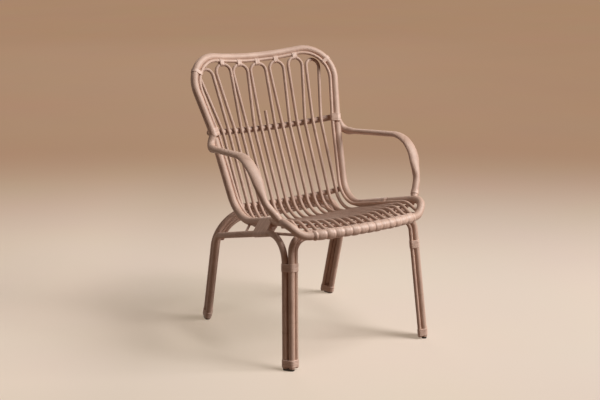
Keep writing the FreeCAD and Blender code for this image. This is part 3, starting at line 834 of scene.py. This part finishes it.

# %% [markdown]
# ## The paper's tones
# The paper is a warm sheet that turns deeper with the distance from the chair, as a sheet does outside the
# lamp's reach. Its glow is also painted darker at the lamp's side and lighter at the other side, where the
# side lamp's shadow falls: painted shade and painted light across the floor. A slow noise keeps it from
# looking like a flat fill. A picture of a backdrop could give the same tones, but only from one side.

# %% Paper tones
paper_oval = (0.5, 1.0, 0.0)
deepens_from = 0.4
deepens_to = 2.8
cloud_share = 0.05
paper_finish, paper_tree, paper_place = new_finish("studio_paper_finish")
paper_cloud = add(paper_tree, "TexNoise", "soft clouds", Scale=1.3, Detail=2.0)
paper_tree.links.new(paper_place, paper_cloud.inputs["Vector"])
paper_turned = add(paper_tree, "Mapping", "turned to the picture")
paper_turned.inputs["Rotation"].default_value = (0, 0, -math.radians(camera_turn))
paper_tree.links.new(paper_place, paper_turned.inputs["Vector"])
paper_narrow = add(paper_tree, "VectorMath", "wide oval", operation="MULTIPLY")
paper_narrow.inputs[1].default_value = paper_oval
paper_reach = add(paper_tree, "VectorMath", "distance from the chair", operation="LENGTH")
paper_tree.links.new(paper_turned.outputs["Vector"], paper_narrow.inputs[0])
paper_tree.links.new(paper_narrow.outputs["Vector"], paper_reach.inputs[0])
paper_far = ramp(paper_tree, paper_reach.outputs["Value"], deepens_from, deepens_to, "far away")
# Masks for painted shade at the lamp's side and painted light at the other side of the floor.
paper_painted_shade_mask = fade(paper_tree, paper_turned.outputs["Vector"], "X", 0.0, 1.0)
paper_painted_light_mask = fade(paper_tree, paper_turned.outputs["Vector"], "X", -0.5, -0.95)


def paper_colour(label, floor_colour, far_colour, painted_shade_at_lamp=1.0, painted_light_at_shadow_side=1.0):
    """A colour that is painted darker at the lamp's side and lighter at the other side, as painted shade
    and painted light across the floor, and deepens far away, with soft clouds in it.
    """
    near = add(paper_tree, "Mix", label + " at the lamp's side", data_type="RGBA")
    near.inputs["A"].default_value = floor_colour
    near.inputs["B"].default_value = [painted_shade_at_lamp * part for part in floor_colour[:3]] + [1.0]
    away = add(paper_tree, "Mix", label + " at the other side", data_type="RGBA")
    away.inputs["B"].default_value = [painted_light_at_shadow_side * part for part in floor_colour[:3]] + [1.0]
    tone = add(paper_tree, "Mix", label, data_type="RGBA")
    tone.inputs["B"].default_value = far_colour
    paper_tree.links.new(paper_painted_shade_mask, near.inputs["Factor"])
    paper_tree.links.new(near.outputs["Result"], away.inputs["A"])
    paper_tree.links.new(paper_painted_light_mask, away.inputs["Factor"])
    paper_tree.links.new(away.outputs["Result"], tone.inputs["A"])
    clouds = add(paper_tree, "Mix", label + " clouds", data_type="RGBA", blend_type="SOFT_LIGHT")
    clouds.inputs["Factor"].default_value = cloud_share
    paper_tree.links.new(paper_far, tone.inputs["Factor"])
    paper_tree.links.new(tone.outputs["Result"], clouds.inputs["A"])
    paper_tree.links.new(paper_cloud.outputs["Color"], clouds.inputs["B"])
    return clouds.outputs["Result"]


print("paper deepens from", deepens_from, "to", deepens_to, "m behind the chair")

# %% [markdown]
# ## The paper's skin and glow
# The camera sees a glow of its own in the paper, which makes it pale and keeps the shadow soft, while
# the chair gets only the plain bounce from it. Light Path tells the two apart. Stronger lamps would make
# the paper pale too, but they would bleach the chair.


# %% Paper material
def seen_in_picture(tree):
    """1 for what the camera sees, straight or in a reflection, and 0 for light on the chair."""
    rays = add(tree, "LightPath", "what looks here")
    mirrored = joined(tree, "MAXIMUM", rays.outputs["Is Glossy Ray"], rays.outputs["Is Transmission Ray"])
    return joined(tree, "MAXIMUM", rays.outputs["Is Camera Ray"], mirrored)


paper_shader = paper_tree.nodes["Principled BSDF"]
paper_bounce = (0.195, 0.108, 0.067, 1.0)
floor_skin = (0.52, 0.455, 0.41, 1.0)
far_skin = (0.012, 0.01, 0.009, 1.0)
floor_glow = (0.318, 0.254, 0.19, 1.0)
far_glow = (0.383, 0.232, 0.142, 1.0)
skin_tone = paper_colour("skin", floor_skin, far_skin)
# The glow is dimmed at the lamp's side and raised at the other side, where the side lamp's shadow falls:
# painted shade and painted light.
glow_and_painted_light = paper_colour("glow", floor_glow, far_glow, painted_shade_at_lamp=0.79, painted_light_at_shadow_side=1.22)
paper_seen = seen_in_picture(paper_tree)
paper_skin = add(paper_tree, "Mix", "bounce or picture", data_type="RGBA")
paper_skin.inputs["A"].default_value = paper_bounce
paper_tree.links.new(paper_seen, paper_skin.inputs["Factor"])
paper_tree.links.new(skin_tone, paper_skin.inputs["B"])
paper_tree.links.new(paper_skin.outputs["Result"], paper_shader.inputs["Base Color"])
paper_shader.inputs["Roughness"].default_value = 0.9
paper_shader.inputs["Specular IOR Level"].default_value = 0.1
paper_glow = add(paper_tree, "Emission", "own light")
paper_tree.links.new(glow_and_painted_light, paper_glow.inputs["Color"])
paper_tree.links.new(paper_seen, paper_glow.inputs["Strength"])
paper_sum = add(paper_tree, "AddShader", "paper and its light")
paper_tree.links.new(paper_shader.outputs["BSDF"], paper_sum.inputs[0])
paper_tree.links.new(paper_glow.outputs["Emission"], paper_sum.inputs[1])
paper_tree.links.new(paper_sum.outputs["Shader"], paper_tree.nodes["Material Output"].inputs["Surface"])
paper.data.materials.append(paper_finish)
print("paper finish:", paper_finish.name)

# %% [markdown]
# ## The air above the paper
# The world gives the chair a low warm light, so that shade under the seat stays readable, and shows the
# camera the paper's deep colour above the horizon. A raised sheet would do that too, but it would stand
# in the way of a view from behind.

# %% World
air_warmth = (1.0, 0.78, 0.62, 1.0)
air_strength = 0.03
air_tone = (0.386, 0.235, 0.144, 1.0)
world = bpy.data.worlds.new("studio_air")
world.use_nodes = True
air = world.node_tree
air_fill = air.nodes["Background"]
air_fill.inputs["Color"].default_value = air_warmth
air_fill.inputs["Strength"].default_value = air_strength
air_picture = add(air, "Background", "deep colour of the paper", Color=air_tone)
air_mix = add(air, "MixShader", "fill or picture")
air.links.new(seen_in_picture(air), air_mix.inputs["Fac"])
air.links.new(air_fill.outputs["Background"], air_mix.inputs[1])
air.links.new(air_picture.outputs["Background"], air_mix.inputs[2])
air.links.new(air_mix.outputs["Shader"], air.nodes["World Output"].inputs["Surface"])
bpy.context.scene.world = world
print("world:", world.name)

# %% [markdown]
# ## Clear the selection

# %% Clear the selection
bpy.ops.object.select_all(action="DESELECT")
